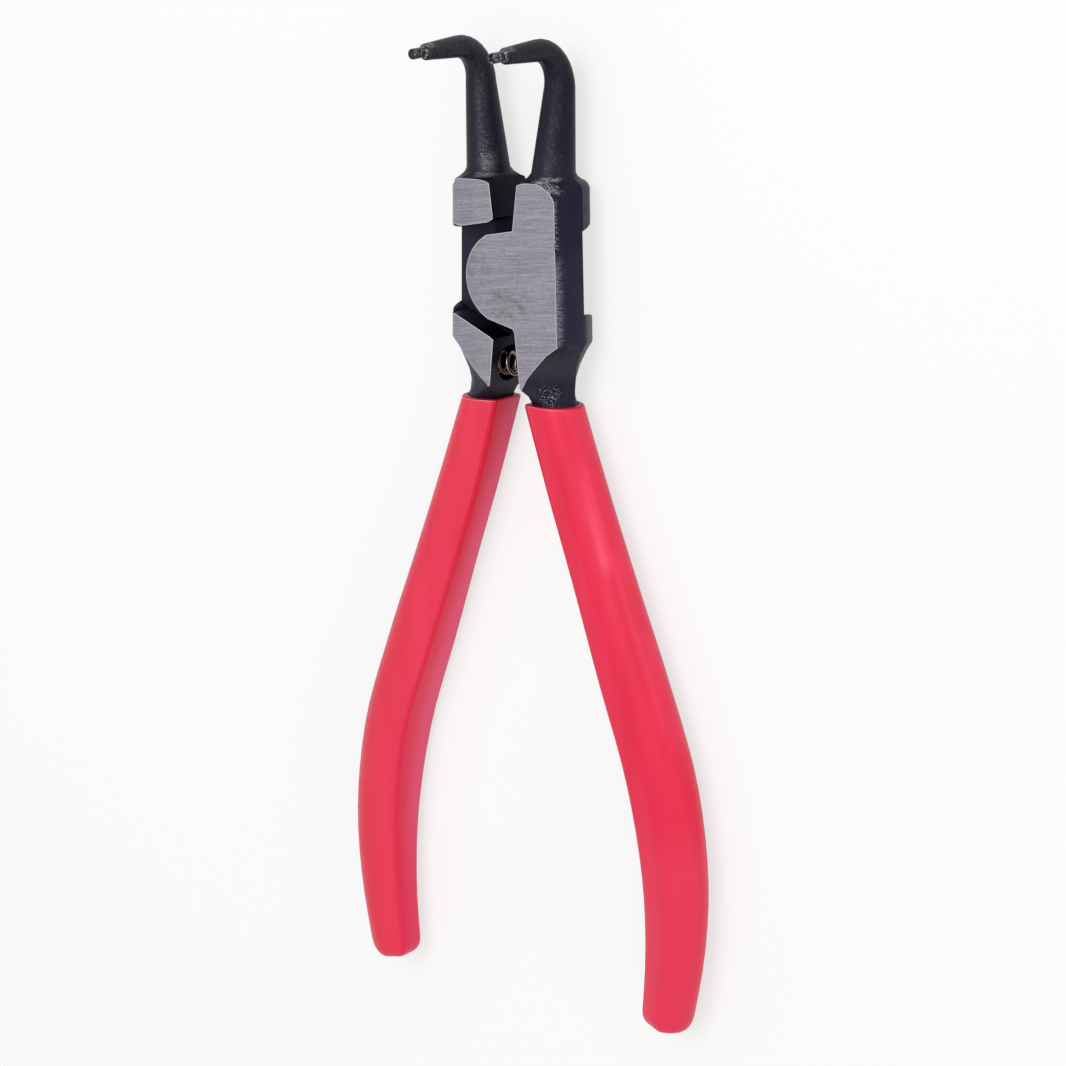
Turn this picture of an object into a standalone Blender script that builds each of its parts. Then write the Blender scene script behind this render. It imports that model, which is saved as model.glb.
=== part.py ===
"""Circlip pliers for outside rings, with the tips bent through a right angle.

Two forged levers lap over each other in a ground joint and turn on one flush rivet.
Each lever is one forging: a handle tang inside a red sleeve, a neck, its half of the
joint and a round arm that bends forward and holds a small inserted pin. The levers
don't cross, so closing the handles spreads the tips. A small coil spring between the
necks pushes the handles apart again.

Frame: the pliers lie on the back face of their joint. The pivot axis is Z, and the origin
is where it leaves that face. X runs across to the right lever, Y runs along the pliers to
the arms, and the tips point along +Z. Every length below is in millimetres, and every
section is drawn about the middle of the joint's thickness, then lifted to lie on Z = 0.
"""

import math

import bmesh
import bpy
from mathutils import Vector

# Clearances
RIVET_GAP = 0.2        # around the rivet, where the levers turn
LAYER_GAP = 0.3        # between the two lapped layers
SLEEVE_GAP = 0.2       # between tang and sleeve
PIN_GAP = 0.15         # around each inserted tip pin
SPRING_GAP = 0.3       # between the coil's ends and the floors of its pockets

# Joint block, seen from the front
JOINT_THICKNESS = 10.2
DISC_RADIUS = 7.9          # the round lap of each lever
DISC_SPAN = 116.0          # degrees from +X to where the round meets its straight webs
WEB_TOP = 8.1              # where the webs run into the straight edge
WEB_BOTTOM = 8.45
WEB_FILLET = 0.7
WALL_NEAR = 1.9            # half the gap between the levers, just above the disc
WALL_BELOW = 2.1           # and just below it
WALL_LEAN_TOP = 0.127      # how the gap widens per millimetre towards the arms
WALL_LEAN_BOTTOM = 0.105   # and towards the handles
FACE_WIDTH_TOP = 10.55     # half width of the ground faces at the shoulders
FACE_WIDTH_BOTTOM = 11.0
SIDE_BULGE = 2.15          # forged side beyond the ground face
SIDE_FULLNESS = 0.4        # 0 is a flat side with a sharp ridge, 1 a round one
SIDE_BEVEL = 1.1           # depth of the bevel along the ground face
PLAIN_SIDE = 0.3           # share of the bulge reached at that depth, as forged
BEVELLED_SIDE = 0.57       # and where the bevel is ground
BEVEL_TOP = 5.0            # upper end of the ground bevel
SHOULDER_LENGTH = 13.2     # pivot to the start of the shoulder's curve
SHOULDER_RISE = 3.15       # from there to the top edge of the ground face
CHAMFER_LENGTH = 10.75     # pivot to the start of the neck chamfer
POINT_LENGTH = 18.5        # pivot to the lower point of the ground face
GRIND_STOCK = 0.4          # what the grinding takes off the forging
CREST_ROUND = 0.2          # rounding of the ground face's inner edge
NECK_CURVE = 2.6           # how quickly the side falls in to the neck, 1 is a straight line

# Shoulder under the arm, from its foot down to the straight side. Each row holds the share
# of the rise, how far in from the straight edge the lap face and the pad face end, the
# inner crest beyond the wall, how far the side is drawn in, and what is lacking in height
SHOULDER_ROWS = (
    (1.0, 3.75, 1.65, 2.4, 0.85, 0.48),
    (0.92, 3.05, 0.95, 1.1, 0.5, 0.25),
    (0.81, 2.36, 0.45, 0.5, 0.25, 0.12),
    (0.57, 1.17, 0.0, 0.2, 0.05, 0.0),
    (0.32, 0.37, 0.0, 0.2, 0.0, 0.0),
    (0.0, 0.0, 0.0, 0.2, 0.0, 0.0),
)

# Neck chamfer. Each row holds the share of the way from the straight side to the lower
# point, and the share of the face's width that is gone by there, on the lap and on the pad
CHAMFER_ROWS = (
    (0.2, 0.26, 0.17),
    (0.5, 0.54, 0.40),
    (0.76, 0.78, 0.66),
    (1.0, 0.985, 0.93),
)

# Recess that clears the other lever's disc
RECESS_TOP = 9.85
RECESS_BOTTOM = 10.55
RECESS_TOP_OUTER = 8.2
RECESS_BOTTOM_OUTER = 6.8
RECESS_RUNOUT = 1.9        # how far its corners close in at the forged side
RECESS_BACK_RISE = 1.2     # its upper outer corner is cut higher on the back
RECESS_TOP_CORNER = 1.3    # the cutter's round corners beside the wall
RECESS_BOTTOM_CORNER = 0.9

# Pivot rivet, ground flush on both faces
RIVET_RADIUS = 2.6
RIVET_HEAD_RADIUS = 4.7
RIVET_HEAD_DEPTH = 2.0

# Neck between joint and sleeve
NECK_OUTER = 11.0
NECK_CREST = 4.1           # half thickness just above the sleeve

# Arms and their bend
ARM_BASE_LENGTH = 17.8     # pivot to the round foot of the arm
ARM_BASE_X = 6.78
ARM_BASE_RADIUS = 3.72
ARM_BEND_LENGTH = 32.05    # pivot to the start of the bend
ARM_BEND_X = 8.16
ARM_BEND_RADIUS = 6.19     # radius of the bent centreline
ARM_TURN = 92.0            # degrees of the bend
ARM_RADIUS_BEND = 2.6
ARM_RADIUS_NOSE = 1.85     # just past the bend
NOSE_LENGTH = 8.8          # straight end of the arm
NOSE_RADIUS = 1.38
NOSE_CHAMFER = 0.35

# Inserted tip pins
PIN_RADIUS = 0.9
PIN_WAIST_RADIUS = 0.7
PIN_LENGTH = 3.2           # what stands out of the nose
PIN_HEAD_LENGTH = 1.9      # the full-diameter end
PIN_SEAT = 5.0             # what sits in the nose
STAKE_BACK = 2.1           # punch mark that stakes the pin, from the nose's end
STAKE_RADIUS = 0.6
STAKE_DEPTH = 0.35

# Return spring between the necks
SPRING_LENGTH_AT = 15.3    # pivot to the spring's axis
SPRING_RADIUS = 2.15       # outside of the coil
SPRING_WIRE = 0.32         # wire radius
SPRING_TURNS = 6.0
POCKET_RADIUS = 3.15
POCKET_DEPTH = 3.0

# Sleeves: y, inner edge, outer edge, half thickness at the inner edge and in the middle
SLEEVE_WALL = 0.9
END_LENGTH = 3.0           # how far the rounding of the sleeve's flat end reaches up
END_ROUND_INNER = 2.9      # that rounding towards the other handle
END_ROUND_OUTER = 1.5      # and on the outer side
CROWN_SHARE = 0.6          # share of the handle's width taken by its round outer side
TANG_END_GAP = 3.4         # sleeve material past the end of the tang
TANG_END_ROUND = 3.0       # length of the tang's rounded end
MOUTH_LENGTH = 4.0         # straight stretch below the rim, inside the sleeve
HANDLE = (
    (-21.3, 2.75, 11.9, 4.0, 4.7),
    (-36.7, 7.3, 17.7, 3.55, 4.4),
    (-51.0, 12.25, 23.2, 3.6, 4.5),
    (-67.3, 18.0, 29.6, 4.15, 4.8),
    (-83.6, 23.75, 35.15, 4.4, 4.95),
    (-100.0, 26.6, 37.65, 3.7, 4.6),
    (-114.2, 26.95, 37.15, 3.0, 4.2),
    (-128.6, 26.0, 34.5, 2.8, 3.9),
)
RIDGE_ROUND = 1.0          # rounding of the sleeve's inner ridges

RING = 24                  # points round every section
MM = 0.001
FACE = JOINT_THICKNESS / 2
RIM = HANDLE[0][0]
HANDLE_END = HANDLE[-1][0]


# Sections. Each is a list of (outward, forward) points that starts at the outermost
# point and runs over the front to the inner side and back behind.

def mirrored(front, back):
    """Joins 13 front points to the matching back points, turned to the other side."""
    return front + [(x, -z) for x, z in reversed(back[1:-1])]


def round_section(x, radius):
    turns = [2 * math.pi * i / RING for i in range(RING)]
    return [(x + radius * math.cos(a), radius * math.sin(a)) for a in turns]


def blend(first, second, share):
    return [(a[0] + (b[0] - a[0]) * share, a[1] + (b[1] - a[1]) * share)
            for a, b in zip(first, second)]


def joint_section(inner, lap, pad, ridge, height):
    """Section of the forging at the joint: flat wall inside, bevel and bulge outside.

    lap and pad are the two faces, each as (inner crest, outer edge, bevel share).
    """
    def quarter(crest, edge, foot):
        drop = SIDE_BEVEL * min(height, FACE) / FACE
        foot_x = edge + foot * (ridge - edge)
        foot_z = min(height, FACE) - drop
        points = []
        for i in range(5):
            a = math.pi * i / 8
            flat = ridge + (foot_x - ridge) * math.sin(a)
            round_x = foot_x + (ridge - foot_x) * math.cos(a)
            points.append((flat + SIDE_FULLNESS * (round_x - flat), foot_z * math.sin(a)))
        stock = max(height - FACE, 0)
        top_x = edge - stock / drop * (foot_x - edge)
        top_x = max(top_x, crest + 0.1)
        points.append(((foot_x + edge) / 2, foot_z + drop / 2))
        points.append((top_x, height))
        points.append(((top_x + crest) / 2, height))
        points.append((crest, height))
        points.append((inner, height - 0.5 * (crest - inner)))
        points.append((inner, 0.66 * (height - 0.5 * (crest - inner))))
        points.append((inner, 0.33 * (height - 0.5 * (crest - inner))))
        points.append((inner, 0.0))
        return points
    return mirrored(quarter(*lap), quarter(*pad))


def handle_at(y):
    """Reads the handle's outline at y from a smooth curve through its stations."""
    rows = HANDLE
    last = len(rows) - 1
    i = 0
    while i < last - 1 and y < rows[i + 1][0]:
        i += 1
    span = rows[i + 1][0] - rows[i][0]
    t = (y - rows[i][0]) / span
    values = []
    for k in range(1, 5):
        before = rows[max(i - 1, 0)]
        after = rows[min(i + 2, last)]
        slope_a = (rows[i + 1][k] - before[k]) / (rows[i + 1][0] - before[0]) * span
        slope_b = (after[k] - rows[i][k]) / (after[0] - rows[i][0]) * span
        values.append((2 * t**3 - 3 * t**2 + 1) * rows[i][k] + (t**3 - 2 * t**2 + t) * slope_a
                      + (3 * t**2 - 2 * t**3) * rows[i + 1][k] + (t**3 - t**2) * slope_b)
    return values


def handle_section(y, inset, inner_inset=None):
    """Section of the handle, drawn in from the sleeve's outside by inset."""
    inner, outer, edge, middle = handle_at(y)
    inner += inset if inner_inset is None else inner_inset
    outer -= inset
    edge -= inset
    middle -= inset
    swell = CROWN_SHARE * (outer - inner)
    corner = max(0.25, RIDGE_ROUND - 0.4 * inset)
    points = [(outer - swell + swell * math.cos(a), middle * math.sin(a))
              for a in (math.pi * i / 14 for i in range(8))]
    points.append((inner + corner, edge))
    points.append((inner + 0.3 * corner, edge - 0.3 * corner))
    points.append((inner, edge - corner))
    points.append((inner, (edge - corner) / 2))
    points.append((inner, 0.0))
    return mirrored(points, points)


def shrunk(section, share):
    """Draws a section in towards its own middle."""
    x = sum(p[0] for p in section) / len(section)
    return [(x + (p[0] - x) * share, p[1] * share) for p in section]


# Meshes

def new_object(name, mesh_builder, smooth_angle=35.0):
    """Makes one named object from a bmesh, lifted onto Z = 0 and turned into metres."""
    bm = bmesh.new()
    mesh_builder(bm)
    bmesh.ops.recalc_face_normals(bm, faces=bm.faces)
    bmesh.ops.translate(bm, vec=(0, 0, FACE), verts=bm.verts)
    bmesh.ops.scale(bm, vec=(MM, MM, MM), verts=bm.verts)
    mesh = bpy.data.meshes.new(name)
    bm.to_mesh(mesh)
    bm.free()
    mesh.shade_smooth()
    mesh.set_sharp_from_angle(angle=math.radians(smooth_angle))
    item = bpy.data.objects.new(name, mesh)
    bpy.context.scene.collection.objects.link(item)
    return item


def loft(bm, rings):
    """Skins a row of equal rings and closes both ends."""
    rows = [[bm.verts.new(p) for p in ring] for ring in rings]
    for low, high in zip(rows, rows[1:]):
        for i in range(len(low)):
            j = (i + 1) % len(low)
            bm.faces.new((low[i], low[j], high[j], high[i]))
    bm.faces.new(rows[0])
    bm.faces.new(rows[-1])


def prism(bm, outline, low, high):
    """Extrudes a flat outline along Z."""
    loft(bm, [[(x, y, z) for x, y in outline] for z in (low, high)])


def turned(bm, profile, start, along):
    """Turns a (distance, radius) profile about the line from start, with closed ends."""
    along = Vector(along).normalized()
    across = Vector((1, 0, 0)) if abs(along.x) < 0.9 else Vector((0, 1, 0))
    across = (across - along * across.dot(along)).normalized()
    third = along.cross(across)
    rings = []
    for distance, radius, count in profile:
        centre = Vector(start) + along * distance
        angles = [2 * math.pi * i / count for i in range(count)]
        rings.append([centre + (across * math.cos(a) + third * math.sin(a)) * radius
                      for a in angles])
    loft(bm, rings)


def cutter(name, mesh_builder):
    """Makes a helper solid that only shapes other objects."""
    item = new_object(name, mesh_builder)
    item.hide_render = True
    item.display_type = 'WIRE'
    return item


def shape_with(item, tool, operation):
    step = item.modifiers.new(tool.name, 'BOOLEAN')
    step.operation = operation
    step.solver = 'EXACT'
    step.object = tool


def material(name, colour, roughness, metallic):
    made = bpy.data.materials.new(name)
    made.use_nodes = True
    shader = made.node_tree.nodes["Principled BSDF"]
    shader.inputs["Base Color"].default_value = (*colour, 1.0)
    shader.inputs["Roughness"].default_value = roughness
    shader.inputs["Metallic"].default_value = metallic
    made.diffuse_color = (*colour, 1.0)
    return made


def dress(item, finish):
    item.data.materials.clear()
    item.data.materials.append(finish)


# The arm's path, on the right lever

def arm_path():
    """Returns (centre, forward direction of the section, radius) from nose to foot."""
    turn = math.radians(ARM_TURN)
    bend_end = Vector((ARM_BEND_X, ARM_BEND_LENGTH + ARM_BEND_RADIUS * math.sin(turn),
                       ARM_BEND_RADIUS * (1 - math.cos(turn))))
    along = Vector((0, math.cos(turn), math.sin(turn)))
    facing = Vector((0, -math.sin(turn), math.cos(turn)))
    nose = bend_end + along * NOSE_LENGTH
    path = [(nose, facing, NOSE_RADIUS - NOSE_CHAMFER),
            (nose - along * NOSE_CHAMFER, facing, NOSE_RADIUS)]
    for share in (0.5, 1.0):
        radius = NOSE_RADIUS + (ARM_RADIUS_NOSE - NOSE_RADIUS) * share
        path.append((nose + (bend_end - nose) * share, facing, radius))
    steps = 9
    for i in range(steps - 1, -1, -1):
        angle = turn * i / steps
        centre = Vector((ARM_BEND_X, ARM_BEND_LENGTH + ARM_BEND_RADIUS * math.sin(angle),
                         ARM_BEND_RADIUS * (1 - math.cos(angle))))
        radius = ARM_RADIUS_BEND + (ARM_RADIUS_NOSE - ARM_RADIUS_BEND) * i / steps
        path.append((centre, Vector((0, -math.sin(angle), math.cos(angle))), radius))
    foot = Vector((ARM_BASE_X, ARM_BASE_LENGTH, 0))
    top = path[-1][0]
    for share in (0.34, 0.67, 1.0):
        radius = ARM_RADIUS_BEND + (ARM_BASE_RADIUS - ARM_RADIUS_BEND) * share
        path.append((top + (foot - top) * share, Vector((0, 0, 1)), radius))
    return path, nose, along


def wall_at(y):
    """Half the gap between the levers at y, beside and beyond the disc."""
    if y > WEB_TOP:
        return WALL_NEAR + WALL_LEAN_TOP * (y - WEB_TOP)
    if y < -WEB_BOTTOM:
        return WALL_BELOW + WALL_LEAN_BOTTOM * (-WEB_BOTTOM - y)
    return (WALL_NEAR + WALL_BELOW) / 2


def face_at(y):
    """Half width of the ground face along its straight outer edge."""
    share = (SHOULDER_LENGTH - y) / (SHOULDER_LENGTH + CHAMFER_LENGTH)
    return FACE_WIDTH_TOP + (FACE_WIDTH_BOTTOM - FACE_WIDTH_TOP) * share


def lever_sections():
    """Returns (y, section) rows of the joint and neck, from the arm's foot to the rim."""
    blank = FACE + GRIND_STOCK
    top = SHOULDER_LENGTH + SHOULDER_RISE
    ridge = FACE_WIDTH_TOP + SIDE_BULGE
    rows = []
    # Between the shoulder and the arm's foot
    foot = (top + ARM_BASE_LENGTH) / 2
    crest = ARM_BASE_X - ARM_BASE_RADIUS / 2
    steep = joint_section(wall_at(foot) + CREST_ROUND, (crest, ARM_BASE_X + 1.0, 0.4),
                          (crest, ARM_BASE_X + 1.6, 0.4), ridge - 1.2, FACE - 0.4)
    rows.append((foot, blend(steep, round_section(ARM_BASE_X, ARM_BASE_RADIUS), 0.6)))
    for rise, lap_cut, pad_cut, crest, drawn_in, lacking in SHOULDER_ROWS:
        y = SHOULDER_LENGTH + SHOULDER_RISE * rise
        inner = wall_at(y)
        lap = (inner + crest, FACE_WIDTH_TOP - lap_cut, PLAIN_SIDE)
        pad = (inner + crest, FACE_WIDTH_TOP - pad_cut, PLAIN_SIDE)
        rows.append((y, joint_section(inner, lap, pad, ridge - drawn_in, blank - lacking)))
    # Straight sides beside the disc, with a ground bevel along the lap side
    for y, bevel in ((WEB_TOP + 0.01, PLAIN_SIDE), (BEVEL_TOP, BEVELLED_SIDE),
                     (-WEB_BOTTOM - 0.01, BEVELLED_SIDE), (-CHAMFER_LENGTH + 0.4, BEVELLED_SIDE),
                     (-CHAMFER_LENGTH, PLAIN_SIDE)):
        inner = wall_at(y)
        crest = inner + CREST_ROUND
        rows.append((y, joint_section(inner, (crest, face_at(y), bevel),
                                      (crest, face_at(y), PLAIN_SIDE),
                                      face_at(y) + SIDE_BULGE, blank)))
    # Chamfer down to the lower point: the lap side is cut back a little further
    for share, lap_gone, pad_gone in CHAMFER_ROWS:
        y = -CHAMFER_LENGTH - (POINT_LENGTH - CHAMFER_LENGTH) * share
        inner = wall_at(y)
        crest = inner + CREST_ROUND / 2
        width = FACE_WIDTH_BOTTOM - inner
        bulge = (FACE_WIDTH_BOTTOM + SIDE_BULGE - NECK_OUTER) * (1 - share) ** NECK_CURVE
        rows.append((y, joint_section(inner, (crest, inner + width * (1 - lap_gone), 0.35),
                                      (crest, inner + width * (1 - pad_gone), 0.35),
                                      NECK_OUTER + bulge, FACE + GRIND_STOCK * (1 - 0.6 * share))))
    # Neck that turns into the tang
    tang = handle_section(RIM, SLEEVE_WALL + SLEEVE_GAP)
    neck = (-POINT_LENGTH + RIM) / 2
    crest = wall_at(neck) + 0.5
    ridge_line = (crest + 0.6, crest + 1.5, 0.4)
    solid = joint_section(wall_at(-POINT_LENGTH) + 0.45, ridge_line, ridge_line,
                          NECK_OUTER, NECK_CREST)
    rows.append((neck, blend(solid, tang, 0.25)))
    rows.append((RIM + 0.45, blend(solid, tang, 0.8)))
    rows.append((RIM, tang))
    return rows


def tang_rows():
    """Stations along the tang inside the sleeve, with a rounded end."""
    end = HANDLE_END + TANG_END_GAP + SLEEVE_GAP
    start = RIM - MOUTH_LENGTH
    inset = SLEEVE_WALL + SLEEVE_GAP
    count = 15
    rows = []
    for i in range(count):
        y = start + (end + TANG_END_ROUND - start) * i / (count - 1)
        rows.append((y, handle_section(y, inset)))
    for y, share in ((end + 1.0, 0.82), (end, 0.5)):
        rows.append((y, shrunk(handle_section(y, inset), share)))
    return rows


def lever_rings(side, lap):
    """Rings of one whole lever; side is +1 or -1 in X, lap the Z side of its disc."""
    rings = []
    path, _, _ = arm_path()
    for centre, facing, radius in path:
        ring = []
        for out, front in round_section(0.0, radius):
            point = centre + Vector((out, 0, 0)) + facing * (lap * front)
            ring.append((side * point.x, point.y, point.z))
        rings.append(ring)
    for y, section in lever_sections() + tang_rows():
        rings.append([(side * x, y, lap * z) for x, z in section])
    return rings


def lap_outline(side):
    """Disc and webs of one lever, as seen from the front."""
    span = math.radians(DISC_SPAN)
    inside = WALL_NEAR + 3.0
    seat = 0.4                 # how far the webs' ends reach into the lever
    across = DISC_RADIUS * math.cos(span)
    rise = DISC_RADIUS * math.sin(span)
    low = wall_at(-WEB_BOTTOM)
    high = wall_at(WEB_TOP)
    points = [(inside, -WEB_BOTTOM - seat), (low, -WEB_BOTTOM - seat)]
    points += corner_arc((low, -WEB_BOTTOM - seat), (low, -WEB_BOTTOM), (across, -rise))
    steps = 26
    for i in range(steps + 1):
        angle = -span - (2 * math.pi - 2 * span) * i / steps
        points.append((DISC_RADIUS * math.cos(angle), DISC_RADIUS * math.sin(angle)))
    points += corner_arc((across, rise), (high, WEB_TOP), (high, WEB_TOP + seat))
    points += [(high, WEB_TOP + seat), (inside, WEB_TOP + seat)]
    return [(side * x, y) for x, y in points]


def corner_arc(before, corner, after):
    """Rounds the inner corner between two straight edges."""
    corner = Vector(corner)
    a = (Vector(before) - corner).normalized()
    b = (Vector(after) - corner).normalized()
    reach = WEB_FILLET * 0.5
    points = []
    for i in range(4):
        t = i / 3
        p = corner + a * reach * (1 - t) ** 2 + b * reach * t ** 2
        points.append((p.x, p.y))
    return points


def recess_outline(side, lap):
    """Plan of the recess that clears the other lever's disc, open to its own side."""
    outer_top = RECESS_TOP_OUTER + (RECESS_BACK_RISE if lap > 0 else 0.0)
    edge_top = face_at(outer_top)
    edge_bottom = face_at(-RECESS_BOTTOM_OUTER)
    far = FACE_WIDTH_BOTTOM + SIDE_BULGE + 1.0
    past = -DISC_RADIUS - 2.0
    top_corner = WALL_NEAR + RECESS_TOP_CORNER
    low_corner = WALL_NEAR + RECESS_BOTTOM_CORNER
    points = [(past, RECESS_TOP), (top_corner - 1.05, RECESS_TOP),
              (top_corner, RECESS_TOP - 0.6),
              (edge_top - 1.7, outer_top),
              (edge_top, min(outer_top + 0.35, RECESS_TOP)),
              (far, outer_top - RECESS_RUNOUT),
              (far, RECESS_RUNOUT - RECESS_BOTTOM_OUTER),
              (edge_bottom, -RECESS_BOTTOM_OUTER),
              (edge_bottom - 0.4, -RECESS_BOTTOM_OUTER),
              (low_corner, 0.25 - RECESS_BOTTOM),
              (low_corner - 0.3, -RECESS_BOTTOM),
              (past, -RECESS_BOTTOM)]
    return [(side * x, y) for x, y in points]


def make_lever(name, side, lap):
    """One forging, cut the way the real one is ground and drilled."""
    lever = new_object(name, lambda bm: loft(bm, lever_rings(side, lap)))
    blank = FACE + GRIND_STOCK

    lap_disc = cutter(name + "_lap", lambda bm: prism(bm, lap_outline(side), -blank, blank))
    shape_with(lever, lap_disc, 'UNION')

    # The lower half of the lap is cut away for the other lever's disc
    split = LAYER_GAP / 2
    depth = sorted((lap * split, -lap * (blank + 2.0)))
    recess = cutter(name + "_recess", lambda bm: prism(bm, recess_outline(side, lap), *depth))
    shape_with(lever, recess, 'DIFFERENCE')

    def grinding(bm):
        reach = 2 * FACE_WIDTH_BOTTOM
        low = -POINT_LENGTH - 1.2
        high = SHOULDER_LENGTH + SHOULDER_RISE + 1.2
        outline = [(-reach, low), (reach, low), (reach, high), (-reach, high)]
        prism(bm, outline, FACE, FACE + 3.0)
        prism(bm, outline, -FACE - 3.0, -FACE)
    shape_with(lever, cutter(name + "_grinding", grinding), 'DIFFERENCE')

    def rivet_hole(bm):
        slope = (RIVET_HEAD_RADIUS - RIVET_RADIUS) / RIVET_HEAD_DEPTH
        turned(bm, [(-FACE - 1.0, RIVET_HEAD_RADIUS + RIVET_GAP + slope, 40),
                    (-FACE + RIVET_HEAD_DEPTH, RIVET_RADIUS + RIVET_GAP, 40),
                    (FACE - RIVET_HEAD_DEPTH, RIVET_RADIUS + RIVET_GAP, 40),
                    (FACE + 1.0, RIVET_HEAD_RADIUS + RIVET_GAP + slope, 40)],
               (0, 0, 0), (0, 0, 1))
    shape_with(lever, cutter(name + "_rivet_hole", rivet_hole), 'DIFFERENCE')

    def pocket(bm):
        wall = wall_at(-SPRING_LENGTH_AT)
        turned(bm, [(wall - 1.5, POCKET_RADIUS, 32), (wall + POCKET_DEPTH, POCKET_RADIUS, 32)],
               (0, -SPRING_LENGTH_AT, 0), (side, 0, 0))
    shape_with(lever, cutter(name + "_pocket", pocket), 'DIFFERENCE')

    _, nose, along = arm_path()
    mouth = Vector((side * nose.x, nose.y, nose.z))

    def pin_hole(bm):
        turned(bm, [(-PIN_SEAT - PIN_GAP, PIN_WAIST_RADIUS + PIN_GAP, 20),
                    (1.0, PIN_WAIST_RADIUS + PIN_GAP, 20)], mouth, along)
    shape_with(lever, cutter(name + "_pin_hole", pin_hole), 'DIFFERENCE')

    # Punch mark on the far side of the nose, which stakes the pin
    def stake(bm):
        surface = NOSE_RADIUS + (ARM_RADIUS_NOSE - NOSE_RADIUS) * STAKE_BACK / NOSE_LENGTH
        away = along.cross(Vector((-1, 0, 0)))
        bottom = mouth - along * STAKE_BACK + away * (surface - STAKE_DEPTH)
        turned(bm, [(0.0, 0.1, 12), (2 * STAKE_DEPTH, 2 * STAKE_RADIUS, 12)], bottom, away)
    shape_with(lever, cutter(name + "_stake", stake), 'DIFFERENCE')
    return lever


def make_pin(name, side):
    """Tip pin: a shank in the nose, a waist and a slightly wider end."""
    _, nose, along = arm_path()
    mouth = Vector((side * nose.x, nose.y, nose.z))
    waist = PIN_LENGTH - PIN_HEAD_LENGTH
    ease = 0.15
    profile = [(-PIN_SEAT, PIN_WAIST_RADIUS - ease, 20), (-PIN_SEAT + ease, PIN_WAIST_RADIUS, 20),
               (waist - ease, PIN_WAIST_RADIUS, 20), (waist, PIN_RADIUS, 20),
               (PIN_LENGTH - ease, PIN_RADIUS, 20), (PIN_LENGTH, PIN_RADIUS - ease, 20)]
    return new_object(name, lambda bm: turned(bm, profile, mouth, along))


def make_rivet():
    profile = [(-FACE, RIVET_HEAD_RADIUS, 40), (-FACE + RIVET_HEAD_DEPTH, RIVET_RADIUS, 40),
               (FACE - RIVET_HEAD_DEPTH, RIVET_RADIUS, 40), (FACE, RIVET_HEAD_RADIUS, 40)]
    return new_object("pivot_rivet", lambda bm: turned(bm, profile, (0, 0, 0), (0, 0, 1)))


def make_spring():
    """Coil spring along X, from pocket floor to pocket floor."""
    reach = wall_at(-SPRING_LENGTH_AT) + POCKET_DEPTH - SPRING_GAP - SPRING_WIRE
    middle = SPRING_RADIUS - SPRING_WIRE
    per_turn = 20
    steps = int(SPRING_TURNS * per_turn)
    rings = []
    for i in range(steps + 1):
        angle = 2 * math.pi * i / per_turn
        out = Vector((0, math.cos(angle), math.sin(angle)))
        centre = Vector((-reach + 2 * reach * i / steps, -SPRING_LENGTH_AT, 0)) + out * middle
        rings.append([centre + SPRING_WIRE * (out * math.cos(b) + Vector((1, 0, 0)) * math.sin(b))
                      for b in (2 * math.pi * k / 8 for k in range(8))])
    return new_object("return_spring", lambda bm: loft(bm, rings), 60.0)


def make_sleeve(name, side):
    """Dipped sleeve: one skin from the bottom of the cavity, over the rim, to the end."""
    rows = []
    cavity_end = HANDLE_END + TANG_END_GAP
    low = cavity_end + TANG_END_ROUND
    inner_rows = 15
    for y, share in ((cavity_end, 0.6), (cavity_end + 1.0, 0.9)):
        rows.append((y, shrunk(handle_section(y, SLEEVE_WALL), share)))
    for i in range(inner_rows):
        y = low + (RIM - MOUTH_LENGTH - low) * i / (inner_rows - 1)
        rows.append((y, handle_section(y, SLEEVE_WALL)))
    # The rim's rounded lip
    for down, share in ((0.0, 1.0), (0.0, 0.4), (0.12, 0.12), (0.5, 0.0)):
        rows.append((RIM - down, handle_section(RIM - down, share * SLEEVE_WALL)))
    outer_rows = 26
    start = RIM - 2.5
    turn_in = HANDLE_END + END_LENGTH
    for i in range(outer_rows):
        y = start + (turn_in - start) * i / (outer_rows - 1)
        rows.append((y, handle_section(y, 0.0)))
    # Rounding of the flat end
    for i in range(1, 6):
        angle = math.pi / 2 * i / 5
        y = turn_in - END_LENGTH * math.sin(angle)
        turn = 1 - math.cos(angle)
        rows.append((y, handle_section(y, END_ROUND_OUTER * turn, END_ROUND_INNER * turn)))
    rings = [[(side * x, y, z) for x, z in section] for y, section in rows]
    return new_object(name, lambda bm: loft(bm, rings), 50.0)


def build():
    for item in list(bpy.data.objects):
        bpy.data.objects.remove(item, do_unlink=True)

    forged = material("blackened_steel", (0.045, 0.043, 0.055), 0.45, 0.9)
    pins = material("pin_steel", (0.10, 0.095, 0.10), 0.38, 1.0)
    ground = material("ground_steel", (0.40, 0.37, 0.41), 0.35, 1.0)
    spring_wire = material("spring_wire", (0.12, 0.07, 0.045), 0.3, 1.0)
    sleeve = material("red_sleeve", (0.72, 0.045, 0.09), 0.42, 0.0)

    # Everything on the right lever turns about the pivot
    pivot = bpy.data.objects.new("pivot_axis", None)
    bpy.context.scene.collection.objects.link(pivot)

    left = [make_lever("left_half", -1, -1), make_pin("left_tip", -1),
            make_sleeve("left_grip", -1)]
    right = [make_lever("right_half", 1, 1), make_pin("right_tip", 1),
             make_sleeve("right_grip", 1)]
    for item in right:
        item.parent = pivot
    for lever, pin, grip in (left, right):
        dress(lever, forged)
        dress(pin, pins)
        dress(grip, sleeve)
    dress(make_rivet(), ground)
    dress(make_spring(), spring_wire)


build()
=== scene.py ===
"""Looks of the circlip pliers: materials, the spring, the light and the camera."""

import math
from types import SimpleNamespace

import bmesh
import bpy
from mathutils import Matrix, Vector


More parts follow.
